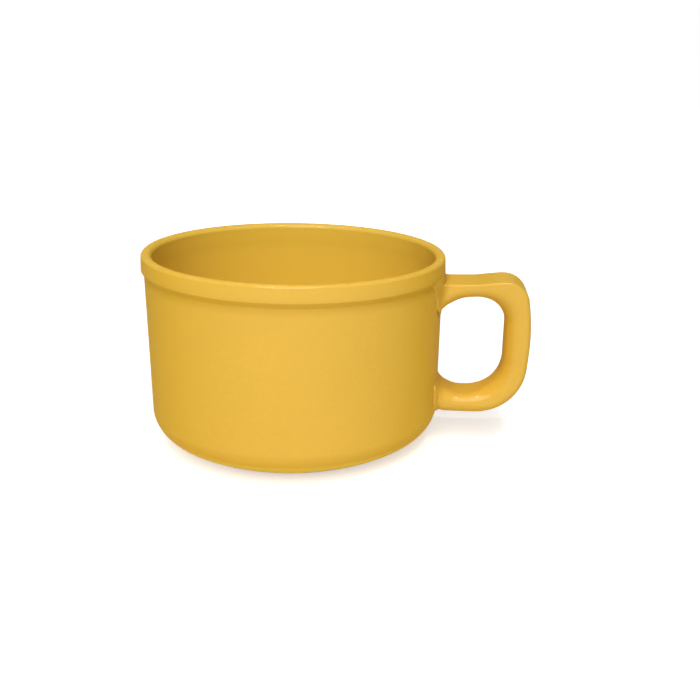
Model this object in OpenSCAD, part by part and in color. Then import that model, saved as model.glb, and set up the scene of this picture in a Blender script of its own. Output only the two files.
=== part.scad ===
// Soup mug: a wide, low cup in one colour with a proud band round its rim, and a squared
// loop handle that has a raised thumb rest and stands on a thin pad on the cup's wall.
// Millimetres, Z up. The cup stands on Z = 0 with its axis on Z, and the handle points along +X.

/* [Cup] */
// Diameter across the rim band
band_d = 108; // [100:0.5:120]
// Height from the foot to the top of the lip
cup_h = 70; // [64:0.5:80]
// Height of the rim band
band_h = 5.6; // [4:0.1:7]
// How far the rim band stands out from the wall below it
band_proud = 1; // [0.5:0.05:1.5]
// Height of the slope under the rim band
band_slope_h = 1.8; // [1:0.1:2.5]
// Radius where the wall turns out into the slope under the band
cove_r = 1.5; // [0.5:0.1:2]
// Radius on the lower edge of the rim band
band_edge_r = 0.8; // [0.3:0.1:1]
// How far the rim band leans in at its top
band_lean = 0.25; // [0:0.05:0.6]
// Width of the lip, across its top
lip_w = 3.6; // [3.2:0.1:4.5]
// Radius on the outer edge of the lip
lip_outer_r = 1.2; // [0.6:0.1:1.4]
// Radius on the inner edge of the lip
lip_inner_r = 1.8; // [1:0.1:1.8]
// How much smaller the wall's radius is at the bottom than under the band
wall_draft = 0.4; // [0.1:0.05:1.2]
// How much smaller the inside radius is at the floor than at the lip
bore_draft = 0.7; // [0.3:0.05:1.4]

/* [Base] */
// Diameter of the foot ring, as a share of the rim band's
foot_share = 0.676; // [0.62:0.004:0.7]
// Width of the foot ring's flat face
foot_w = 2.4; // [1.5:0.1:4]
// Depth of the recess inside the foot ring
foot_recess = 1; // [0.5:0.1:1.5]
// Thickness of the floor over the recess
floor_t = 3.6; // [3:0.1:5]
// Distance from the wall in to where the underside flattens
heel_in = 9.2; // [8:0.1:11]
// Slope of the lower corner, in degrees
heel_slope = 31.4; // [26:0.2:36]
// Slope of the underside outside the foot ring, in degrees
under_slope = 16; // [10:0.5:18]
// Radius where the wall turns into the lower corner
heel_r = 9.5; // [6:0.1:11]
// Radius where the lower corner turns into the underside
under_r = 22; // [10:0.5:24]
// Radius between the floor and the wall, inside
floor_r = 12; // [8:0.5:16]

/* [Handle] */
// Width of the handle
handle_w = 17; // [14:0.25:20]
// How far the grip stands out from the rim band
reach = 31.9; // [28:0.1:38]
// Height of the handle's lowest face above the table
handle_z = 12.3; // [10:0.1:15]
// Distance from the rim band down to the top arm
arm_drop = 3.2; // [2.5:0.1:5]
// Thickness of the top arm, at its root
arm_t = 5.1; // [4.8:0.1:7]
// Thickness of the lower arm, at its root
low_arm_t = 6.9; // [6.6:0.1:9]
// Thickness of the grip
grip_t = 9.4; // [7.5:0.1:11]
// How far the thumb rest rises above the top arm
thumb_rise = 1.7; // [1:0.1:3]
// Where the thumb rest starts, from the rim band
thumb_from = 11; // [9:0.25:13]
// Length of the thumb rest's slope
thumb_slope_l = 9.5; // [8:0.25:11]
// Lean of the grip's back above its fullest point, in degrees
grip_lean = 13; // [8:0.5:15]
// Lean of the grip's back below its fullest point, in degrees
grip_tuck = 3.8; // [2:0.1:8]
// Radius of the grip's bowed back
grip_bow_r = 80; // [60:1:90]
// Radius of the grip's top corner
top_corner_r = 8.9; // [4:0.1:9.5]
// Radius of the grip's bottom corner
low_corner_r = 19; // [14:0.5:21]

/* [Finger hole] */
// Radius where the hole's roof bends down to the top root
hole_root_r = 11.25; // [6:0.25:12]
// Radius of the hole's upper outer corner
hole_top_r = 10.5; // [8:0.25:12]
// Radius of the hole's lower outer corner
hole_low_r = 14.25; // [10:0.25:16]
// Radius where the hole's floor bends up to the lower root
hole_heel_r = 8; // [5:0.25:10]
// How far the slope under the top root runs out from the wall
root_run = 7.2; // [4:0.1:8]
// How far that slope reaches down the wall
root_rise = 4.3; // [3.5:0.1:6]
// How far the slope over the lower root runs out from the wall
heel_run = 6.1; // [4:0.1:8]
// How far that slope reaches up the wall
heel_rise = 3; // [2.5:0.1:5]
// Radius where both slopes meet the wall
slope_foot_r = 2.5; // [1:0.25:3.5]
// How much higher the hole's roof is at the grip than at the wall
hole_roof_rise = 1.5; // [0.5:0.1:3]
// How much lower the hole's floor is at the grip than at the wall
hole_floor_drop = 0.3; // [0.1:0.1:2]

/* [Handle edges] */
// Radius of the crisp edges of the top face
edge_crisp = 0.7; // [0.4:0.05:1]
// Radius of the soft edges under the lower arm
edge_soft = 3.2; // [2:0.1:3.2]
// Radius of those edges at the lower root, where they meet the pad
edge_heel = 6; // [3:0.1:6.5]
// Radius of the edges of the grip's back
edge_back = 2.2; // [1.4:0.1:2.4]
// Radius of the soft edges round the finger hole, along the arms
edge_hole = 3.4; // [2.5:0.1:3.4]
// Radius of the soft edges round the finger hole, along the grip
edge_grip = 6.2; // [3.5:0.1:6.2]

/* [Roots and pad] */
// Sideways flare of the top root, at the rim band
flare_top = 10.6; // [6:0.2:13]
// Sideways flare of the top root, at its lower end
flare_end = 5; // [3:0.1:6]
// Sideways flare of the lower root
flare_low = 3; // [2:0.1:5]
// How far the flares reach out along the arms
flare_out = 3.8; // [2.5:0.1:5]
// Height over which the flares round in at the finger hole
flare_tip_h = 3.2; // [2:0.2:4.4]
// How far both roots stand out from the pad at the edge of their flares
root_step = 0.35; // [0.2:0.05:0.6]
// Radius between the top face and the rim band
root_top_r = 0.6; // [0.3:0.1:2]
// Radius between the lower arm and the wall, underneath
root_low_r = 0.6; // [0.3:0.1:2]
// Width of the pad that the handle stands on, at its top
pad_w = 52.4; // [48:0.2:56]
// How much narrower the pad is where its lower corners start
pad_taper = 4.5; // [2:0.1:6]
// Height of the pad's lower corners above the handle's lowest face
pad_corner_up = 17.4; // [14:0.1:20]
// Radius of the pad's lower corners
pad_corner_r = 17; // [8:0.5:18]
// How far the pad stands out from the wall under the band
pad_lift = 0.2; // [0.15:0.05:0.5]
// Height of the pad's lower end above the handle's lowest face
pad_up = 1.4; // [1:0.1:3]

/* [Hidden] */

cup_colour = [0.92, 0.73, 0.31];
handle_colour = [0.93, 0.75, 0.35];

$fn = 120;
arc_steps = 10;
edge_steps = 5;
side_steps = 6;
face_steps = 8;
arm_steps = 9;
ray_count = 64;
// The outer edges are crisp while the face is nearer to level than this share, and then grow soft
crisp_level = 0.8;
crisp_fade = 0.6;
// The most slanted that a cut may be through a face, for the edge's depth
slant_least = 0.5;

// Cup: radii and heights that follow from the sizes above
band_r = band_d / 2;
band_z = cup_h - band_h;
wall_r = band_r - band_proud;
wall_z = band_z - band_slope_h;
wall_low_r = wall_r - wall_draft;
foot_r = band_r * foot_share;
heel_point_r = wall_low_r - heel_in;
heel_point_z = (heel_point_r - foot_r) * tan(under_slope);
heel_top_z = heel_point_z + heel_in * tan(heel_slope);
bore_r = band_r - band_lean - lip_w;
floor_z = foot_recess + floor_t;
recess_r = foot_r - foot_w;

// Handle: places along X and Z in the side view
pad_r = wall_r + pad_lift;
arm_z = band_z - arm_drop;
crest_z = arm_z + thumb_rise;
grip_r = band_r + reach;
hole_out_r = grip_r - grip_t;
roof_z = arm_z - arm_t;
sill_z = handle_z + low_arm_t;
root_z = roof_z - root_rise;
heel_z = sill_z + heel_rise;
root_end_z = root_z - slope_foot_r;
heel_end_z = heel_z + slope_foot_r;
hole_mid = [(pad_r + hole_out_r) / 2, (roof_z + sill_z) / 2];
// The back of the grip is a shallow arc with a straight line tangent to each end
bow_height_share = 0.57;
bow_centre = [grip_r - grip_bow_r, handle_z + (crest_z - handle_z) * bow_height_share];
bow_mid = (grip_lean - grip_tuck) / 2;
bow_point = bow_centre + grip_bow_r / cos((grip_lean + grip_tuck) / 2) * [cos(bow_mid), sin(bow_mid)];
// How deep the handle's ends reach into the wall before the wall's shape is cut away
bite = 1.5;
// How far the flares dip under the pad's face, which leaves a fine crease round them
crease = 0.1;
flare_r = pad_r - crease;
// How far the top of the root lies back from the rim band's face
flush = 0.05;
root_r = band_r - flush;
// The step at the edge of the flares takes up no more than this share of the root's own height
step_most_share = 0.6;
step_out = min(root_step, (root_r - flare_r) * step_most_share);
// How far the top of the root leans out while it drops from the rim band to the arm, for each mm
root_top_share = 0.05;
// The share of the thumb rest's rise that the arm has already made where the slope starts
thumb_lead_share = 0.25;
// How far from the pad the handle still follows the wall's curve
wrap_run = flare_top;

// The corner points of the handle's outer side view, and the radius at each
outer_points = [
    [flare_r - bite, band_z],
    [root_r, band_z],
    [band_r + arm_drop * root_top_share, arm_z],
    [band_r + thumb_from, arm_z + thumb_rise * thumb_lead_share],
    [band_r + thumb_from + thumb_slope_l, crest_z],
    [bow_point[0] - (crest_z - bow_point[1]) * tan(grip_lean), crest_z],
    bow_point,
    [bow_point[0] - (bow_point[1] - handle_z) * tan(grip_tuck), handle_z],
    [flare_r, handle_z],
    [flare_r - bite, handle_z - root_low_r]
];
outer_radii = [0, 0, root_top_r, thumb_slope_l, thumb_slope_l, top_corner_r, grip_bow_r, low_corner_r,
    root_low_r, 0];

// The corner points of the finger hole, and the radius at each
hole_points = [
    [flare_r - bite, root_end_z],
    [flare_r, root_end_z],
    [flare_r, root_z],
    [flare_r + root_run, roof_z],
    [hole_out_r, roof_z + hole_roof_rise],
    [hole_out_r, sill_z - hole_floor_drop],
    [flare_r + heel_run, sill_z],
    [flare_r, heel_z],
    [flare_r, heel_end_z],
    [flare_r - bite, heel_end_z]
];
hole_radii = [0, 0, slope_foot_r, hole_root_r, hole_top_r, hole_low_r, hole_heel_r, slope_foot_r, 0, 0];

function unit(v) = v / norm(v);
function left_of(v) = [-v[1], v[0]];
function turned(v, a) = [v[0] * cos(a) - v[1] * sin(a), v[0] * sin(a) + v[1] * cos(a)];
function turn_between(a, b) = atan2(a[0] * b[1] - a[1] * b[0], a * b);
function eased(t) = let (s = min(1, max(0, t))) s * s * (3 - 2 * s);

// An arc of radius r at corner b of the path a, b, c: a list of [point, normal on the left]
function corner_arc(a, b, c, r) =
    let (d = unit(b - a), th = turn_between(d, unit(c - b)), n = left_of(d), side = sign(th),
        start = b - d * r * tan(abs(th) / 2), centre = start + n * side * r)
    [for (k = [0:arc_steps]) let (m = turned(n, th * k / arc_steps)) [centre - m * side * r, m]];

function arc_only(a, b, c, r) = [for (e = corner_arc(a, b, c, r)) e[0]];

// A path through the points with an arc at each corner between the two ends
function rounded_path(p, r) = [
    for (i = [0:len(p) - 1])
        each (r[i] > 0 ? corner_arc(p[i - 1], p[i], p[i + 1], r[i])
            : [[p[i], left_of(unit(p[max(i, 1)] - p[max(i, 1) - 1]))]])
];

// Where a cut from c at angle a crosses the path: [point, normal]
function crossing(path, c, a) =
    let (d = [cos(a), sin(a)],
        hits = [for (i = [0:len(path) - 2])
            let (p = path[i][0] - c, q = path[i + 1][0] - c,
                s = d[0] * p[1] - d[1] * p[0], t = d[0] * q[1] - d[1] * q[0])
            if (s * t <= 0 && s != t && (p + q) * d > 0)
                let (k = s / (s - t), mixed = path[i] * (1 - k) + path[i + 1] * k)
                [mixed[0], unit(mixed[1])]])
    hits[0];

// Half the handle's width at a place in the side view. It flares towards the wall in a quarter of
// an ellipse, down to a base that stands out from the pad and rises to the rim band's radius.
function half_width(p) =
    let (up = eased((p[1] - root_end_z) / (arm_z - root_end_z)),
        top = p[1] > hole_mid[1],
        t = min(1, max(0, (top ? p[1] - root_end_z : heel_end_z - p[1]) / flare_tip_h)),
        least = top ? flare_end : flare_low,
        along = (least + (flare_top - least) * up) * sqrt(t * (2 - t)),
        base = flare_r + step_out + (root_r - flare_r - step_out) * up,
        gap = min(1, max(0, (base + flare_out - p[0]) / flare_out)),
        foot = min(base - flare_r, max(0, base - p[0])))
    handle_w / 2 + along * (1 - sqrt(1 - gap * gap)) + foot;

// A point of the handle, drawn back to follow the wall's curve where it is near the wall
function placed(p, v) =
    let (near = 1 - eased((p[0] - pad_r) / wrap_run), y = min(abs(v), pad_r))
    [p[0] - near * (pad_r - sqrt(pad_r * pad_r - y * y)), v, p[1]];

// One soft edge of a section, from the face at p in to the handle's side
function edge_points(p, into, r, side) = [
    for (k = [0:edge_steps])
        let (a = 90 * k / edge_steps, q = p + into * r * (1 - cos(a)))
        placed(q, side * (half_width(q) - r + r * sin(a)))
];
function reversed(v) = [for (i = [len(v) - 1:-1:0]) v[i]];

// The handle's side between the edges of a section, from p to q
function side_points(p, q, side) = [
    for (k = [1:side_steps - 1])
        let (m = p + (q - p) * k / side_steps)
        placed(m, side * half_width(m))
];

// The face of a section at p, from one side to the other
function face_points(p, r, side) = [
    for (k = [1:face_steps - 1])
        placed(p, side * (half_width(p) - r) * (2 * k / face_steps - 1))
];

// A whole section of the handle, cut from c at angle a. The top face has crisp edges, and the
// edges round the hole fade out where the roots meet the pad.
function section_at(c, a) =
    let (d = [cos(a), sin(a)], o = crossing(outer_path, c, a), i = crossing(hole_path, c, a),
        level = c == hole_mid ? o[1][1] : d[1],
        heel = 1 - eased((o[0][0] - pad_r) / flare_out),
        soft = edge_soft + (edge_back - edge_soft) * eased(o[1][0]) + (edge_heel - edge_soft) * heel,
        round = edge_hole + (edge_grip - edge_hole) * eased(i[1][0]),
        ro = edge_crisp + (soft - edge_crisp) * eased((crisp_level - level) / crisp_fade),
        ri = crease + (round - crease) * eased((i[0][0] - flare_r) / flare_out),
        down = -d / max(slant_least, o[1] * d), up = d / max(slant_least, i[1] * d),
        p = o[0] + down * ro, q = i[0] + up * ri)
    concat(face_points(o[0], ro, 1), edge_points(o[0], down, ro, 1), side_points(p, q, 1),
        reversed(edge_points(i[0], up, ri, 1)), face_points(i[0], ri, -1), edge_points(i[0], up, ri, -1),
        side_points(q, p, -1), reversed(edge_points(o[0], down, ro, -1)));

outer_path = rounded_path(outer_points, outer_radii);
hole_path = rounded_path(hole_points, hole_radii);

// Where the handle is cut: upright cuts along the two arms, close together near the wall, and
// cuts that turn about the middle of the finger hole along the grip
arm_cuts = concat([flare_r - bite, flare_r, flare_r + step_out], [
    for (k = [0:arm_steps - 1]) root_r + (hole_mid[0] - root_r) * (1 - cos(90 * k / arm_steps))
]);
cuts = concat(
    [for (x = arm_cuts) [[x, hole_mid[1]], 90]],
    [for (k = [0:ray_count]) [hole_mid, 90 - 180 * k / ray_count]],
    [for (x = reversed(arm_cuts)) [[x, hole_mid[1]], -90]]);

// The loop of the handle: a skin over its sections, from the top root round to the lower root
module handle_loop() {
    sections = [for (c = cuts) section_at(c[0], c[1])];
    n = len(sections[0]);
    last = (len(cuts) - 1) * n;
    skin = [for (k = [0:len(cuts) - 2]) for (j = [0:n - 1])
        let (a = k * n + j, b = k * n + (j + 1) % n)
        each [[a, b, a + n], [b, b + n, a + n]]];
    ends = [for (j = [1:n - 2]) each [[0, j + 1, j], [last, last + j, last + j + 1]]];
    polyhedron(points = [for (s = sections) each s], faces = concat(skin, ends), convexity = 6);
}

// The thin pad: the part of a cylinder that lies inside a tongue-shaped outline, which narrows
// downwards to the lower root
module pad() {
    half = pad_w / 2;
    low = [handle_w / 2, handle_z + pad_up];
    corner = [half - pad_taper / 2, handle_z + pad_corner_up];
    side = concat([low], reversed(arc_only([half, band_z], corner, low, pad_corner_r)), [[half, band_z]]);
    intersection() {
        cylinder(r = pad_r, h = band_z);
        rotate([90, 0, 90])
            linear_extrude(height = pad_r + bite)
                polygon(concat(side, reversed([for (q = side) [-q[0], q[1]]])));
    }
}

// The outside of the cup as a solid of revolution, foot to lip
function outside_points() =
    let (foot = [foot_r, 0], under = [heel_point_r, heel_point_z], heel = [wall_low_r, heel_top_z],
        wall = [wall_r, wall_z], edge = [band_r, band_z], lip = [band_r - band_lean, cup_h],
        inside = [bore_r, cup_h])
    concat([foot], arc_only(foot, under, heel, under_r), arc_only(under, heel, wall, heel_r),
        arc_only(heel, wall, edge, cove_r), arc_only(wall, edge, lip, band_edge_r),
        arc_only(edge, lip, inside, lip_outer_r));

module cup_outside() {
    rotate_extrude()
        polygon(concat([[0, 0]], outside_points(), [[0, cup_h]]));
}

module cup_body() {
    lip = [band_r - band_lean, cup_h];
    inside = [bore_r, cup_h];
    low = [bore_r - bore_draft, floor_z];
    color(cup_colour)
        rotate_extrude()
            polygon(concat(
                [[0, foot_recess], [recess_r - foot_recess, foot_recess], [recess_r, 0]],
                outside_points(),
                arc_only(lip, inside, low, lip_inner_r),
                arc_only(inside, low, [0, floor_z], floor_r),
                [[0, floor_z]]));
}

module handle() {
    color(handle_colour)
        difference() {
            union() {
                handle_loop();
                pad();
            }
            cup_outside();
        }
}

cup_body();
handle();
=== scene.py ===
import math

import bpy
from mathutils import Matrix, Vector


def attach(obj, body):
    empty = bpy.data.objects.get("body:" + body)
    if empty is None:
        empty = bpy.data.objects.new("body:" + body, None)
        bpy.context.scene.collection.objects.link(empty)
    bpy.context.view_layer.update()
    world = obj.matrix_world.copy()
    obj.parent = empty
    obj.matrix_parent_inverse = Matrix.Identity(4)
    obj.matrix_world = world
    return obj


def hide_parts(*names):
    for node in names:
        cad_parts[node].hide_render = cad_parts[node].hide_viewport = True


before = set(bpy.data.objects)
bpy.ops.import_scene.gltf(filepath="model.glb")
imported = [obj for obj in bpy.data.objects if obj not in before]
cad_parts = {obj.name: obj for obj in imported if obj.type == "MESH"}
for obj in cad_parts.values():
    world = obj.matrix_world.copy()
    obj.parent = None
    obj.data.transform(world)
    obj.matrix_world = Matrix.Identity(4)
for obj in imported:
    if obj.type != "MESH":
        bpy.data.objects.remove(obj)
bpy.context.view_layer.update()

# The camera stands where the photographer's did: in front of the mug and a little above it, with
# the handle to the right and the mug left of the middle of a square picture.
CAMERA_TARGET = Vector((0.04949, 0.0, 0.03388))
CAMERA_DISTANCE = 0.330
CAMERA_HEIGHT_ANGLE = math.radians(18.255)
CAMERA_ROLL = math.radians(2.348)
LENS_MM = 45.45
SENSOR_MM = 36.0
SHIFT_X = -0.1143
NEAREST_SEEN = 0.01
FARTHEST_SEEN = 20.0

camera_data = bpy.data.cameras.new("camera")
camera_data.lens = LENS_MM
camera_data.sensor_width = SENSOR_MM
camera_data.shift_x = SHIFT_X
camera_data.clip_start = NEAREST_SEEN
camera_data.clip_end = FARTHEST_SEEN
camera = bpy.data.objects.new("camera", camera_data)
bpy.context.scene.collection.objects.link(camera)
backwards = Vector((0.0, -math.cos(CAMERA_HEIGHT_ANGLE), math.sin(CAMERA_HEIGHT_ANGLE)))
across = Vector((1.0, 0.0, 0.0))
upwards = backwards.cross(across)
rolled_across = across * math.cos(CAMERA_ROLL) + upwards * math.sin(CAMERA_ROLL)
rolled_upwards = upwards * math.cos(CAMERA_ROLL) - across * math.sin(CAMERA_ROLL)
turn = Matrix((rolled_across, rolled_upwards, backwards)).transposed().to_4x4()
camera.matrix_world = Matrix.Translation(CAMERA_TARGET + backwards * CAMERA_DISTANCE) @ turn
bpy.context.scene.camera = camera

# The cup is pressed in yellow melamine, in one mould with its handle: wall, proud rim band,
# rounded lip, floor and foot ring. Its outline is drawn ring by ring from the foot up, over the
# lip and down to the floor, and then each ring that the mould rounds is bevelled to its radius.
CUP_AROUND = 192
RECESS_R = 0.0331
FOOT_IN_R = 0.0341
FOOT_OUT_R = 0.0365
FOOT_RECESS = 0.0010
HEEL_R, HEEL_Z = 0.0434, 0.00198
CORNER_R, CORNER_Z = 0.0526, 0.00759
WALL_TOP_R, WALL_TOP_Z = 0.0530, 0.0626
BAND_R, BAND_Z = 0.05397, 0.0644
LIP_OUT_R, LIP_IN_R, CUP_H = 0.05372, 0.05015, 0.0700
FLOOR_R, FLOOR_Z = 0.04945, 0.0046
FLOOR_MID_R = 0.0150
SAME_PLACE = 1e-5
ROUND_PROFILE = 0.5

cup_rings = [
    # radius and height of the ring, the radius of its rounding, and the steps that draw this
    (RECESS_R, FOOT_RECESS, 0.0, 0),
    (FOOT_IN_R, 0.0, 0.0004, 3),
    (FOOT_OUT_R, 0.0, 0.0010, 3),
    (HEEL_R, HEEL_Z, 0.0220, 6),
    (CORNER_R, CORNER_Z, 0.0095, 16),
    (WALL_TOP_R, WALL_TOP_Z, 0.0012, 5),
    (BAND_R, BAND_Z, 0.0004, 4),
    (LIP_OUT_R, CUP_H, 0.0012, 8),
    (LIP_IN_R, CUP_H, 0.0018, 10),
    (FLOOR_R, FLOOR_Z, 0.0120, 14),
    (FLOOR_MID_R, FLOOR_Z, 0.0, 0),
]

bpy.ops.object.select_all(action="DESELECT")
bpy.ops.mesh.primitive_circle_add(vertices=CUP_AROUND, radius=RECESS_R, location=(0.0, 0.0, 0.0))
cup = bpy.context.object
cup.name = "cup"
bpy.ops.object.mode_set(mode="EDIT")
bpy.ops.mesh.select_mode(type="EDGE")
bpy.ops.mesh.select_all(action="SELECT")
bpy.ops.transform.translate(value=(0.0, 0.0, FOOT_RECESS))
bpy.ops.mesh.edge_face_add()
for (from_r, from_z, *_), (to_r, to_z, *_) in zip(cup_rings, cup_rings[1:]):
    grow = to_r / from_r
    bpy.ops.mesh.extrude_edges_move(TRANSFORM_OT_translate={"value": (0.0, 0.0, to_z - from_z)})
    bpy.ops.transform.resize(value=(grow, grow, 1.0), center_override=(0.0, 0.0, to_z))
bpy.ops.mesh.edge_face_add()
bpy.ops.mesh.select_all(action="SELECT")
bpy.ops.mesh.normals_make_consistent(inside=False)


def on_ring(point, radius, height):
    """Whether a point of the cup lies on the ring with this radius and height."""
    off = abs(math.hypot(point.x, point.y) - radius)
    return off < SAME_PLACE and abs(point.z - height) < SAME_PLACE


def round_ring(before, ring, after, radius, steps):
    """Bevels the ring of edges at a radius and height into an arc of the given radius."""
    bpy.ops.mesh.select_all(action="DESELECT")
    bpy.ops.object.mode_set(mode="OBJECT")
    for edge in cup.data.edges:
        edge.select = all(on_ring(cup.data.vertices[i].co, *ring) for i in edge.vertices)
    bpy.ops.object.mode_set(mode="EDIT")
    bpy.ops.mesh.select_mode(type="EDGE")
    come = Vector(ring) - Vector(before)
    go = Vector(after) - Vector(ring)
    bpy.ops.mesh.bevel(
        offset=radius * math.tan(come.angle(go) / 2),
        offset_type="OFFSET",
        segments=steps,
        profile=ROUND_PROFILE,
        affect="EDGES",
    )


for before, ring, after in zip(cup_rings, cup_rings[1:], cup_rings[2:]):
    round_ring(before[:2], ring[:2], after[:2], ring[2], ring[3])
bpy.ops.mesh.select_all(action="SELECT")
bpy.ops.mesh.normals_make_consistent(inside=False)
bpy.ops.object.mode_set(mode="OBJECT")
bpy.ops.object.shade_smooth()
cup.modifiers.new("even_shading", "WEIGHTED_NORMAL")
bpy.ops.object.modifier_apply(modifier="even_shading")


def new_group(name, takes, gives):
    """Makes a node group with named inputs and outputs, and gives it with both sets of sockets."""
    group = bpy.data.node_groups.new(name, "ShaderNodeTree")
    for socket, kind in takes.items():
        group.interface.new_socket(socket, in_out="INPUT", socket_type="NodeSocket" + kind)
    for socket, kind in gives.items():
        group.interface.new_socket(socket, in_out="OUTPUT", socket_type="NodeSocket" + kind)
    given = group.nodes.new("NodeGroupInput").outputs
    result = group.nodes.new("NodeGroupOutput").inputs
    return group, given, result


def add_node(tree, kind, feeds, **settings):
    """Adds a shader node, feeds it numbers or what other nodes put out, and gives its outputs."""
    node = tree.nodes.new("ShaderNode" + kind)
    for setting, choice in settings.items():
        setattr(node, setting, choice)
    for socket, feed in feeds.items():
        if isinstance(feed, bpy.types.NodeSocket):
            tree.links.new(feed, node.inputs[socket])
        else:
            node.inputs[socket].default_value = feed
    return node.outputs


def math_node(tree, operation, *values):
    """Adds a Math node that works out one value from others."""
    return add_node(tree, "Math", dict(enumerate(values)), operation=operation)["Value"]


def ramp(tree, value, low, high, at_low=0.0, at_high=1.0, kind="LINEAR"):
    """Turns a value between low and high into one between at_low and at_high, held at both."""
    ends = {"From Min": low, "From Max": high, "To Min": at_low, "To Max": at_high}
    return add_node(tree, "MapRange", {"Value": value, **ends}, interpolation_type=kind)["Result"]


def tinted(tree, colour, tint, share):
    """Mixes a share of a tint into a colour."""
    feeds = {"Factor": share, "A": colour, "B": tint}
    return add_node(tree, "Mix", feeds, data_type="RGBA")["Result"]


def noise(tree, place, per_metre, detail):
    """Spreads a soft noise over the piece."""
    feeds = {"Vector": place, "Scale": per_metre, "Detail": detail}
    return add_node(tree, "TexNoise", feeds)["Fac"]


NOISE_LOW, NOISE_HIGH = 0.3, 0.7
CLOUDS_PER_METRE, CLOUD_DETAIL = 38.0, 3.0
CLOUD_DARK, CLOUD_PALE = 0.988, 1.010
MOTTLE_PER_METRE, MOTTLE_DETAIL = 620.0, 4.0
MOTTLE_DARK, MOTTLE_PALE = 0.985, 1.015
GRAIN_PER_METRE, GRAIN_DETAIL = 260.0, 5.0


def skin_group():
    """Makes the node group for the pressed skin: cloudy tone, fine mottle and a faint grain."""
    takes = {"Place": "Vector", "Colour": "Color", "Gloss Low": "Float", "Gloss High": "Float"}
    gives = {"Colour": "Color", "Roughness": "Float", "Grain": "Float"}
    group, given, result = new_group("pressed_skin", takes, gives)
    cloud = noise(group, given["Place"], CLOUDS_PER_METRE, CLOUD_DETAIL)
    mottle = noise(group, given["Place"], MOTTLE_PER_METRE, MOTTLE_DETAIL)
    grain = noise(group, given["Place"], GRAIN_PER_METRE, GRAIN_DETAIL)
    cloud_tone = ramp(group, cloud, NOISE_LOW, NOISE_HIGH, CLOUD_DARK, CLOUD_PALE)
    mottle_tone = ramp(group, mottle, NOISE_LOW, NOISE_HIGH, MOTTLE_DARK, MOTTLE_PALE)
    tone = math_node(group, "MULTIPLY", cloud_tone, mottle_tone)
    feeds = {"Vector": given["Colour"], "Scale": tone}
    toned = add_node(group, "VectorMath", feeds, operation="SCALE")["Vector"]
    gloss = (given["Gloss Low"], given["Gloss High"])
    group.links.new(toned, result["Colour"])
    group.links.new(ramp(group, grain, NOISE_LOW, NOISE_HIGH, *gloss), result["Roughness"])
    group.links.new(grain, result["Grain"])
    return group


SPECK_RIM, SPECK_MIDDLE = 0.040, 0.016


def speck_group():
    """Makes the node group for dust: a mask of a few small specks, spread at random."""
    takes = {"Place": "Vector", "Per Metre": "Float", "Share": "Float"}
    group, given, result = new_group("dust_specks", takes, {"Mask": "Float"})
    feeds = {"Vector": given["Place"], "Scale": given["Per Metre"]}
    cells = add_node(group, "TexVoronoi", feeds, feature="F1")
    spot = ramp(group, cells["Distance"], SPECK_RIM, SPECK_MIDDLE, kind="SMOOTHSTEP")
    chance = add_node(group, "SeparateColor", {"Color": cells["Color"]})["Red"]
    chosen = math_node(group, "LESS_THAN", chance, given["Share"])
    group.links.new(math_node(group, "MULTIPLY", spot, chosen), result["Mask"])
    return group


SCUFFS_PER_METRE, SCUFF_DETAIL = 330.0, 4.0
SCUFF_LOW, SCUFF_HIGH = 0.36, 0.60


def wear_and_painted_light_band_group():
    """Makes the node group for a band mask round the piece at one height, broken up by scuffs: for
    wear and for painted highlight and shade.
    """
    takes = {"Place": "Vector", "Height": "Float", "Reach": "Float", "Least": "Float"}
    group, given, result = new_group("wear_and_painted_light_band", takes, {"Mask": "Float"})
    height = add_node(group, "SeparateXYZ", {"Vector": given["Place"]})["Z"]
    distance = math_node(group, "ABSOLUTE", math_node(group, "SUBTRACT", height, given["Height"]))
    near = ramp(group, distance, 0.0, given["Reach"], 1.0, 0.0, "SMOOTHSTEP")
    scuffs = noise(group, given["Place"], SCUFFS_PER_METRE, SCUFF_DETAIL)
    patchy = ramp(group, scuffs, SCUFF_LOW, SCUFF_HIGH, given["Least"])
    group.links.new(math_node(group, "MULTIPLY", near, patchy), result["Mask"])
    return group


MELAMINE_IOR = 1.5
COAT_IOR = 1.45
COAT_ROUGHNESS = 0.11
SLANT_BLEND = 0.5
SLANT_SHINY, SLANT_DULL = 0.05, 0.45
COAT_MOST, COAT_LEAST = 0.58, 0.04
DUST_BROWN = (0.42, 0.22, 0.03, 1.0)
DUST_PER_METRE = 110.0
DUST_CHANCE = 0.12
DUST_SHARE = 0.35
GRAIN_STRENGTH = 0.06
GRAIN_DEPTH = 0.0003


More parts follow.
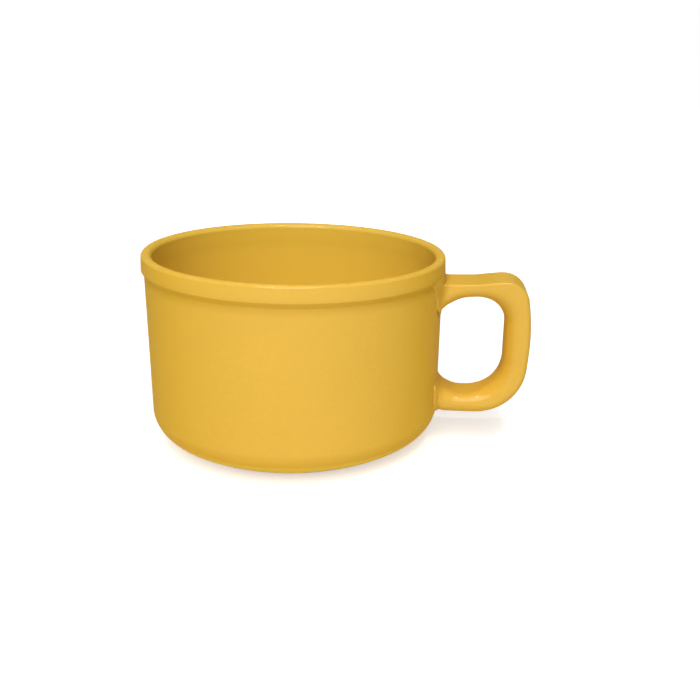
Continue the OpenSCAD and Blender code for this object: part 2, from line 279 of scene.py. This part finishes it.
def melamine(name, colour, gloss_low, gloss_high, worn_and_painted_places):
    """Makes the moulded melamine of one piece from the three groups."""
    material = bpy.data.materials.new(name)
    material.use_nodes = True
    tree = material.node_tree
    surface = tree.nodes["Principled BSDF"].inputs
    surface["IOR"].default_value = MELAMINE_IOR
    surface["Specular IOR Level"].default_value = 0.0
    surface["Coat IOR"].default_value = COAT_IOR
    surface["Coat Roughness"].default_value = COAT_ROUGHNESS
    # The press-polished skin shines face-on and is all but dull where it is seen edge-on
    slant = add_node(tree, "LayerWeight", {"Blend": SLANT_BLEND})["Facing"]
    polish = ramp(tree, slant, SLANT_SHINY, SLANT_DULL, COAT_MOST, COAT_LEAST)
    tree.links.new(polish, surface["Coat Weight"])
    place = add_node(tree, "TexCoord", {})["Object"]
    feeds = {"Place": place, "Colour": colour, "Gloss Low": gloss_low, "Gloss High": gloss_high}
    skin = add_node(tree, "Group", feeds, node_tree=pressed_skin)
    feeds = {"Place": place, "Per Metre": DUST_PER_METRE, "Share": DUST_CHANCE}
    specks = add_node(tree, "Group", feeds, node_tree=dust_specks)["Mask"]
    dust = math_node(tree, "MULTIPLY", specks, DUST_SHARE)
    shown = tinted(tree, skin["Colour"], DUST_BROWN, dust)
    roughness = skin["Roughness"]
    # each place tints a band: wear at the foot and thumb rest, wear with a painted highlight at the
    # lip, and painted shade under the rim band
    for height, reach, tone, share, dull, least in worn_and_painted_places:
        feeds = {"Place": place, "Height": height, "Reach": reach, "Least": least}
        edge = add_node(tree, "Group", feeds, node_tree=wear_and_painted_light_band)["Mask"]
        shown = tinted(tree, shown, tone, math_node(tree, "MULTIPLY", edge, share))
        roughness = math_node(tree, "MULTIPLY_ADD", edge, dull, roughness)
    tree.links.new(shown, surface["Base Color"])
    tree.links.new(roughness, surface["Roughness"])
    feeds = {"Strength": GRAIN_STRENGTH, "Distance": GRAIN_DEPTH, "Height": skin["Grain"]}
    tree.links.new(add_node(tree, "Bump", feeds)["Normal"], surface["Normal"])
    return material


pressed_skin = skin_group()
dust_specks = speck_group()
wear_and_painted_light_band = wear_and_painted_light_band_group()
RUBBED_AND_HIGHLIGHT_YELLOW = (0.86, 0.56, 0.11, 1.0)
PAINTED_SHADE_YELLOW = (0.60, 0.32, 0.012, 1.0)
# tone, share of the tone, how much duller, and the least that it fades to between the scuffs
# rubbed wear, paler and duller; round the lip it is also a painted highlight along the rounded edge
RUBBED_AND_HIGHLIGHT = (RUBBED_AND_HIGHLIGHT_YELLOW, 0.45, 0.12, 0.2)
# painted shade: a darker yellow in the crease under the rim band, where the band shades the wall
PAINTED_SHADE = (PAINTED_SHADE_YELLOW, 0.50, 0.05, 0.9)
CREASE_Z = 0.0627
# height, reach up and down, and then one of the two sorts of mark above
# wear round the lip and a painted highlight along its rounded edges
LIP_WEAR_AND_HIGHLIGHT = (CUP_H, 0.0012, *RUBBED_AND_HIGHLIGHT)
FOOT_WEAR = (0.0, 0.0008, *RUBBED_AND_HIGHLIGHT)
# painted shade in the crease under the rim band
BAND_CREASE_SHADE = (CREASE_Z, 0.0036, *PAINTED_SHADE)
CUP_YELLOW = (0.80, 0.472, 0.048, 1.0)
CUP_GLOSS = (0.38, 0.50)
cup_melamine = melamine("cup_melamine", CUP_YELLOW, *CUP_GLOSS, [LIP_WEAR_AND_HIGHLIGHT, FOOT_WEAR, BAND_CREASE_SHADE])

# The inside is given a paler yellow than the outside: painted light, to offset the deeper yellow
# that light bouncing round inside the bowl gives
BOWL_PAINTED_LIGHT_YELLOW = (0.84, 0.59, 0.080, 1.0)
BOWL_SHARE = 0.75
LIP_FADE_W = 0.0012
UNDER_FLOOR_FROM, UNDER_FLOOR_TO = 0.0012, 0.0004
cup_tree = cup_melamine.node_tree
cup_colour = cup_tree.nodes["Principled BSDF"].inputs["Base Color"]
outside_colour = cup_colour.links[0].from_socket
cup_place = add_node(cup_tree, "TexCoord", {})["Object"]
cup_height = add_node(cup_tree, "SeparateXYZ", {"Vector": cup_place})["Z"]
level_feeds = {0: cup_place, 1: (1.0, 1.0, 0.0)}
level_place = add_node(cup_tree, "VectorMath", level_feeds, operation="MULTIPLY")["Vector"]
from_axis = add_node(cup_tree, "VectorMath", {0: level_place}, operation="LENGTH")["Value"]
within_wall = ramp(cup_tree, from_axis, LIP_IN_R + LIP_FADE_W, LIP_IN_R, kind="SMOOTHSTEP")
above_floor = ramp(cup_tree, cup_height, FLOOR_Z - UNDER_FLOOR_FROM, FLOOR_Z - UNDER_FLOOR_TO)
bowl_mask = math_node(cup_tree, "MULTIPLY", within_wall, above_floor)
bowl_share = math_node(cup_tree, "MULTIPLY", bowl_mask, BOWL_SHARE)
cup_tree.links.new(tinted(cup_tree, outside_colour, BOWL_PAINTED_LIGHT_YELLOW, bowl_share), cup_colour)
cup.data.materials.append(cup_melamine)
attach(cup, "root")
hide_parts("cup_body")

# The handle leaves the mould with the cup, in the same melamine: a flat-topped arm, a rounded grip
# and a lower arm round a finger hole, on a thin curved pad. Its arms flare where they meet the
# wall, and the pad and the flares run into the wall under the rim band.
HANDLE_W = 0.0170
ROOT_TOP_R = 0.05395
PAD_FACE_R = 0.0532
FLARE_R = 0.0531
ARM_Z = 0.0612
THUMB_Z = 0.0629
LOW_FACE_Z = 0.0123
SEAT_DROP = 0.0006
HOLE_TOP_Z = 0.0493
HOLE_LOW_Z = 0.0247
HOLE_OUT_X = 0.0765
BITE = 0.0012
OUTER_LINE = [
    # x, z and the radius of each corner, from the rim band over the thumb rest and down the grip
    (FLARE_R - BITE, BAND_Z, 0.0),
    (ROOT_TOP_R, BAND_Z, 0.0),
    (0.05416, ARM_Z, 0.0006),
    (0.0650, 0.06162, 0.0095),
    (0.0745, THUMB_Z, 0.0095),
    (0.08298, THUMB_Z, 0.0089),
    (0.0865, 0.04763, 0.0800),
    (0.08416, LOW_FACE_Z, 0.0190),
    (FLARE_R, LOW_FACE_Z, 0.0006),
    (FLARE_R - BITE, LOW_FACE_Z - SEAT_DROP, 0.0),
]
HOLE_LINE = [
    # the same for the finger hole, from the top root round to the lower root
    (FLARE_R - BITE, HOLE_TOP_Z, 0.0),
    (FLARE_R, HOLE_TOP_Z, 0.0),
    (FLARE_R, 0.0518, 0.0025),
    (0.0603, 0.0561, 0.01125),
    (HOLE_OUT_X, 0.0576, 0.0105),
    (HOLE_OUT_X, 0.0189, 0.01425),
    (0.0592, 0.0192, 0.0080),
    (FLARE_R, 0.0222, 0.0025),
    (FLARE_R, HOLE_LOW_Z, 0.0),
    (FLARE_R - BITE, HOLE_LOW_Z, 0.0),
]
HOLE_MIDDLE = Vector((0.06485, 0.03765))
ARC_STEPS = 16


def rounded_line(corners):
    """Points along a line with an arc at each corner, each with the way that faces left of it."""
    points = []
    for k, (x, z, radius) in enumerate(corners):
        here = Vector((x, z))
        before = Vector(corners[max(k - 1, 0)][:2])
        after = Vector(corners[min(k + 1, len(corners) - 1)][:2])
        come = (here - before).normalized() if k else (after - here).normalized()
        left = Vector((-come.y, come.x))
        if radius == 0.0:
            points.append((here, left))
            continue
        go = (after - here).normalized()
        bend = math.atan2(come.x * go.y - come.y * go.x, come.dot(go))
        side = math.copysign(1.0, bend)
        start = here - come * radius * math.tan(abs(bend) / 2)
        centre = start + left * side * radius
        for step in range(ARC_STEPS + 1):
            out = Matrix.Rotation(bend * step / ARC_STEPS, 2) @ left
            points.append((centre - out * side * radius, out))
    return points


outer_line = rounded_line(OUTER_LINE)
hole_line = rounded_line(HOLE_LINE)


def crossing(line, start, way):
    """Where a cut through the handle meets a line: the point, and the way the surface faces."""
    for (first, first_out), (second, second_out) in zip(line, line[1:]):
        off = way.x * (first - start).y - way.y * (first - start).x
        next_off = way.x * (second - start).y - way.y * (second - start).x
        ahead = (first + second - 2 * start).dot(way) > 0.0
        if off * next_off <= 0.0 and off != next_off and ahead:
            share = off / (off - next_off)
            return first.lerp(second, share), first_out.lerp(second_out, share).normalized()


def held(t):
    """A number held between 0 and 1."""
    return min(1.0, max(0.0, t))


def eased(t):
    """A smooth step from 0 to 1."""
    t = held(t)
    return t * t * (3.0 - 2.0 * t)


FLARE_TOP = 0.0118
FLARE_END = 0.0046
FLARE_LOW = 0.0024
FLARE_OUT = 0.0026
FLARE_TIP_H = 0.0022
FLARE_WIDENS_Z = 0.0550
FLARE_SWEEP = 1.6
TOP_TIP_Z = 0.0512
LOW_TIP_Z = HOLE_LOW_Z
WRAP_RUN = 0.0106
ROOT_STEP = 0.00028


def half_width(place):
    """Half the handle's width: it flares to the wall in a quarter of an ellipse."""
    up = held((place.y - FLARE_WIDENS_Z) / (BAND_Z - FLARE_WIDENS_Z)) ** FLARE_SWEEP
    if place.y > HOLE_MIDDLE.y:
        least = FLARE_END
        from_tip = place.y - TOP_TIP_Z
    else:
        least = FLARE_LOW
        from_tip = LOW_TIP_Z - place.y
    tip = held(from_tip / FLARE_TIP_H)
    along = (least + (FLARE_TOP - least) * up) * math.sqrt(tip * (2.0 - tip))
    base = FLARE_R + ROOT_STEP + (ROOT_TOP_R - FLARE_R - ROOT_STEP) * up
    gap = held((base + FLARE_OUT - place.x) / FLARE_OUT)
    foot = min(base - FLARE_R, max(0.0, base - place.x))
    return HANDLE_W / 2 + along * (1.0 - math.sqrt(1.0 - gap * gap)) + foot


def wall_back(y):
    """How far back the round wall lies at a distance to the side of the handle's middle."""
    return PAD_FACE_R - math.sqrt(PAD_FACE_R * PAD_FACE_R - y * y)


def laid_on_wall(place, y):
    """A point of the handle, drawn back to follow the wall's curve where it is near the wall."""
    near = 1.0 - eased((place.x - PAD_FACE_R) / WRAP_RUN)
    back = wall_back(min(abs(y), PAD_FACE_R))
    return Vector((place.x - near * back, y, place.y))


CRISP_EDGE = 0.0007
SOFT_EDGE = 0.0032
HEEL_EDGE = 0.0060
BACK_EDGE = 0.0022
HOLE_EDGE = 0.0034
GRIP_EDGE = 0.0062
ROOT_EDGE = 0.0001
EDGE_STEPS = 8
SIDE_STEPS = 8
FACE_STEPS = 10
CRISP_LEVEL = 0.8
CRISP_FADE = 0.6
LEAST_FACING = 0.5


def section(start, way, upright):
    """One whole cut through the handle: a ring of points."""
    outer, outer_out = crossing(outer_line, start, way)
    inner, inner_out = crossing(hole_line, start, way)
    level = way.y if upright else outer_out.y
    heel = 1.0 - eased((outer.x - PAD_FACE_R) / FLARE_OUT)
    soft = SOFT_EDGE + (BACK_EDGE - SOFT_EDGE) * eased(outer_out.x) + (HEEL_EDGE - SOFT_EDGE) * heel
    hole = HOLE_EDGE + (GRIP_EDGE - HOLE_EDGE) * eased(inner_out.x)
    outer_r = CRISP_EDGE + (soft - CRISP_EDGE) * eased((CRISP_LEVEL - level) / CRISP_FADE)
    inner_r = ROOT_EDGE + (hole - ROOT_EDGE) * eased((inner.x - FLARE_R) / FLARE_OUT)
    down = -way / max(LEAST_FACING, outer_out.dot(way))
    up = way / max(LEAST_FACING, inner_out.dot(way))
    half_ring = []
    for step in range(FACE_STEPS // 2):
        half_ring.append((outer, (half_width(outer) - outer_r) * 2 * step / FACE_STEPS))
    for step in range(EDGE_STEPS + 1):
        angle = math.pi / 2 * step / EDGE_STEPS
        place = outer + down * outer_r * (1.0 - math.cos(angle))
        half_ring.append((place, half_width(place) - outer_r * (1.0 - math.sin(angle))))
    outer_end = outer + down * outer_r
    inner_end = inner + up * inner_r
    for step in range(1, SIDE_STEPS):
        place = outer_end.lerp(inner_end, step / SIDE_STEPS)
        half_ring.append((place, half_width(place)))
    for step in range(EDGE_STEPS, -1, -1):
        angle = math.pi / 2 * step / EDGE_STEPS
        place = inner + up * inner_r * (1.0 - math.cos(angle))
        half_ring.append((place, half_width(place) - inner_r * (1.0 - math.sin(angle))))
    for step in range(FACE_STEPS // 2 - 1, -1, -1):
        half_ring.append((inner, (half_width(inner) - inner_r) * 2 * step / FACE_STEPS))
    near_side = [laid_on_wall(place, -y) for place, y in half_ring]
    far_side = [laid_on_wall(place, y) for place, y in reversed(half_ring[1:-1])]
    return near_side + far_side


ARM_CUTS = 14
GRIP_CUTS = 128
UP = Vector((0.0, 1.0))
arm_places = [FLARE_R - BITE, FLARE_R, FLARE_R + ROOT_STEP]
for step in range(ARM_CUTS):
    share = 1.0 - math.cos(math.pi / 2 * step / ARM_CUTS)
    arm_places.append(ROOT_TOP_R + (HOLE_MIDDLE.x - ROOT_TOP_R) * share)
cuts = [(Vector((x, HOLE_MIDDLE.y)), UP, True) for x in arm_places]
for step in range(GRIP_CUTS + 1):
    angle = math.pi / 2 - math.pi * step / GRIP_CUTS
    cuts.append((HOLE_MIDDLE, Vector((math.cos(angle), math.sin(angle))), False))
cuts += [(Vector((x, HOLE_MIDDLE.y)), -UP, True) for x in reversed(arm_places)]
rings = [section(*cut) for cut in cuts]

SKIN_W = 0.05
SAME_POINT = 1e-7
around = len(rings[0])
rows = len(rings) - 1
bpy.ops.object.select_all(action="DESELECT")
bpy.ops.mesh.primitive_grid_add(x_subdivisions=around, y_subdivisions=rows, size=SKIN_W)
handle = bpy.context.object
handle.name = "loop_handle"
for k, vertex in enumerate(handle.data.vertices):
    row, column = divmod(k, around + 1)
    vertex.co = rings[row][column % around]
bpy.ops.object.mode_set(mode="EDIT")
bpy.ops.mesh.select_all(action="SELECT")
bpy.ops.mesh.remove_doubles(threshold=SAME_POINT)
bpy.ops.mesh.select_all(action="DESELECT")
bpy.ops.mesh.select_non_manifold()
bpy.ops.mesh.fill()
bpy.ops.mesh.select_all(action="SELECT")
bpy.ops.mesh.normals_make_consistent(inside=False)
bpy.ops.object.mode_set(mode="OBJECT")
bpy.ops.object.shade_smooth()

PAD_END_Y, PAD_END_Z = 0.0085, 0.0137
PAD_BEND_Y, PAD_BEND_Z = 0.02395, 0.0297
PAD_TOP_Y = 0.0262
PAD_LINE = [
    # y and z of each corner, from the low end up one side, along the rim band and down the other
    (PAD_END_Y, PAD_END_Z),
    (PAD_BEND_Y, PAD_BEND_Z),
    (PAD_TOP_Y, BAND_Z),
    (-PAD_TOP_Y, BAND_Z),
    (-PAD_BEND_Y, PAD_BEND_Z),
    (-PAD_END_Y, PAD_END_Z),
]
PAD_START_W = 0.001
PAD_CORNER_R = 0.0170
PAD_CORNER_STEPS = 16
PAD_DEPTH = 0.0008
PAD_RIM_W = 0.0010
PAD_RIM_DROP = 0.0008
PAD_RIM_STEPS = 6
PAD_COLUMN_W = 0.0015
SAME_HEIGHT = 1e-6
FACES_OUT = 0.9
bpy.ops.object.select_all(action="DESELECT")
bpy.ops.mesh.primitive_plane_add(size=PAD_START_W)
pad = bpy.context.object
pad.name = "handle_pad"
bpy.ops.object.mode_set(mode="EDIT")
bpy.ops.mesh.merge(type="CENTER")
bpy.ops.transform.translate(value=(PAD_FACE_R - PAD_RIM_DROP, *PAD_LINE[0]))
for (from_y, from_z), (to_y, to_z) in zip(PAD_LINE, PAD_LINE[1:]):
    side = (0.0, to_y - from_y, to_z - from_z)
    bpy.ops.mesh.extrude_vertices_move(TRANSFORM_OT_translate={"value": side})
bpy.ops.mesh.select_all(action="SELECT")
bpy.ops.mesh.edge_face_add()
bpy.ops.mesh.select_mode(type="VERT")
bpy.ops.mesh.select_all(action="DESELECT")
bpy.ops.object.mode_set(mode="OBJECT")
for vertex in pad.data.vertices:
    vertex.select = abs(vertex.co.z - PAD_BEND_Z) < SAME_HEIGHT
bpy.ops.object.mode_set(mode="EDIT")
low_side = Vector(PAD_LINE[1]) - Vector(PAD_LINE[0])
high_side = Vector(PAD_LINE[2]) - Vector(PAD_LINE[1])
bpy.ops.mesh.bevel(
    offset=PAD_CORNER_R * math.tan(low_side.angle(high_side) / 2),
    offset_type="OFFSET",
    segments=PAD_CORNER_STEPS,
    profile=ROUND_PROFILE,
    affect="VERTICES",
)
bpy.ops.mesh.select_all(action="SELECT")
bpy.ops.mesh.extrude_region_move(TRANSFORM_OT_translate={"value": (-PAD_DEPTH, 0.0, 0.0)})
bpy.ops.mesh.select_all(action="SELECT")
bpy.ops.mesh.normals_make_consistent(inside=False)
bpy.ops.mesh.select_mode(type="FACE")
bpy.ops.mesh.select_all(action="DESELECT")
bpy.ops.object.mode_set(mode="OBJECT")
for face in pad.data.polygons:
    face.select = face.normal.x > FACES_OUT
bpy.ops.object.mode_set(mode="EDIT")
for step in range(PAD_RIM_STEPS):
    lift = eased((step + 1) / PAD_RIM_STEPS) - eased(step / PAD_RIM_STEPS)
    bpy.ops.mesh.inset(thickness=PAD_RIM_W / PAD_RIM_STEPS, depth=PAD_RIM_DROP * lift)
bpy.ops.mesh.select_mode(type="VERT")
half_columns = int(PAD_TOP_Y / PAD_COLUMN_W)
for column in range(-half_columns, half_columns + 1):
    bpy.ops.mesh.select_all(action="SELECT")
    bpy.ops.mesh.bisect(plane_co=(0.0, column * PAD_COLUMN_W, 0.0), plane_no=(0.0, 1.0, 0.0))
bpy.ops.object.mode_set(mode="OBJECT")
for vertex in pad.data.vertices:
    vertex.co.x -= wall_back(vertex.co.y)
bpy.ops.object.shade_smooth()
bpy.ops.object.select_all(action="DESELECT")
pad.select_set(True)
handle.select_set(True)
bpy.context.view_layer.objects.active = handle
bpy.ops.object.join()
handle.modifiers.new("even_shading", "WEIGHTED_NORMAL")
bpy.ops.object.modifier_apply(modifier="even_shading")

THUMB_WEAR = (THUMB_Z, 0.0007, *RUBBED_AND_HIGHLIGHT)
# the handle's yellow is a slightly darker, less orange copy of the cup's: painted shade, set to how
# the handle is lit
HANDLE_PAINTED_SHADE_YELLOW = (0.775, 0.463, 0.052, 1.0)
HANDLE_GLOSS = (0.36, 0.48)
handle_melamine = melamine("handle_melamine", HANDLE_PAINTED_SHADE_YELLOW, *HANDLE_GLOSS, [THUMB_WEAR])
handle.data.materials.append(handle_melamine)
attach(handle, "root")
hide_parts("handle")

# The floor is a wide sheet of pale paper laid flat. The camera, and the gloss on the mug, see it
# burnt out to white as in the photograph, and it still takes the mug's soft shadow.
WHITE = (1.0, 1.0, 1.0, 1.0)
PAPER_GREY = (0.90, 0.90, 0.90, 1.0)
PAPER_ROUGHNESS = 0.9
PAPER_W = 6.0
PAPER_DROP = 0.00005
PAPER_LIFT_NEAR = 0.55
PAPER_LIFT_FAR = 1.0
SHADOW_REACH = 0.25
PAPER_FADE = 0.50


def seen_share(tree):
    """Makes a value that is 1 for what the camera sees, straight or in gloss or glass."""
    path = add_node(tree, "LightPath", {})
    gloss = math_node(tree, "MAXIMUM", path["Is Glossy Ray"], path["Is Transmission Ray"])
    return math_node(tree, "MAXIMUM", path["Is Camera Ray"], gloss)


bpy.ops.object.select_all(action="DESELECT")
bpy.ops.mesh.primitive_plane_add(size=PAPER_W, location=(0.0, 0.0, -PAPER_DROP))
floor = bpy.context.object
floor.name = "floor"
paper = bpy.data.materials.new("paper")
paper.use_nodes = True
paper_tree = paper.node_tree
paper_surface = paper_tree.nodes["Principled BSDF"].inputs
paper_surface["Base Color"].default_value = PAPER_GREY
paper_surface["Roughness"].default_value = PAPER_ROUGHNESS
paper_surface["Specular IOR Level"].default_value = 0.0
paper_surface["Emission Color"].default_value = WHITE
paper_place = add_node(paper_tree, "TexCoord", {})["Object"]
from_mug = add_node(paper_tree, "VectorMath", {0: paper_place}, operation="LENGTH")["Value"]
lift_ends = (SHADOW_REACH, PAPER_FADE, PAPER_LIFT_NEAR, PAPER_LIFT_FAR)
paper_lift = ramp(paper_tree, from_mug, *lift_ends, "SMOOTHSTEP")
paper_glow = math_node(paper_tree, "MULTIPLY", seen_share(paper_tree), paper_lift)
paper_tree.links.new(paper_glow, paper_surface["Emission Strength"])
floor.data.materials.append(paper)

# The studio is a dim white room. Three soft square lamps stand 1.2 m off: in front, high in front
# and straight over the mug. Two small bare lamps high in front give the gloss its crisp sparks.
ROOM_LIGHT = 0.15
LAMP_AWAY = 1.20
MUG_MIDDLE = Vector((0.0, 0.0, 0.035))
LAMPS = [
    # name, degrees to the right, degrees up, width in metres, watts
    ("softbox_front", -2.0, 38.0, 0.70, 7.2),
    ("softbox_high", 10.0, 66.0, 0.70, 2.1),
    ("softbox_over", 20.0, 86.0, 0.90, 2.4),
    ("small_lamp_left", -18.0, 60.0, 0.08, 1.4),
    ("small_lamp_right", 28.0, 60.0, 0.08, 1.6),
]

studio = bpy.data.worlds.new("studio")
studio.use_nodes = True
bpy.context.scene.world = studio
studio_tree = studio.node_tree
room = studio_tree.nodes["Background"].inputs
room["Color"].default_value = WHITE
room_strength = ramp(studio_tree, seen_share(studio_tree), 0.0, 1.0, ROOM_LIGHT)
studio_tree.links.new(room_strength, room["Strength"])

for name, right, up, width, watts in LAMPS:
    lamp_data = bpy.data.lights.new(name, "AREA")
    lamp_data.energy = watts
    lamp_data.shape = "SQUARE"
    lamp_data.size = width
    lamp = bpy.data.objects.new(name, lamp_data)
    bpy.context.scene.collection.objects.link(lamp)
    level = LAMP_AWAY * math.cos(math.radians(up))
    lamp.location = MUG_MIDDLE + Vector((
        level * math.sin(math.radians(right)),
        -level * math.cos(math.radians(right)),
        LAMP_AWAY * math.sin(math.radians(up)),
    ))
    lamp.rotation_euler = (MUG_MIDDLE - lamp.location).to_track_quat("-Z", "Y").to_euler()
bpy.context.scene.view_settings.view_transform = "Standard"
bpy.context.view_layer.update()
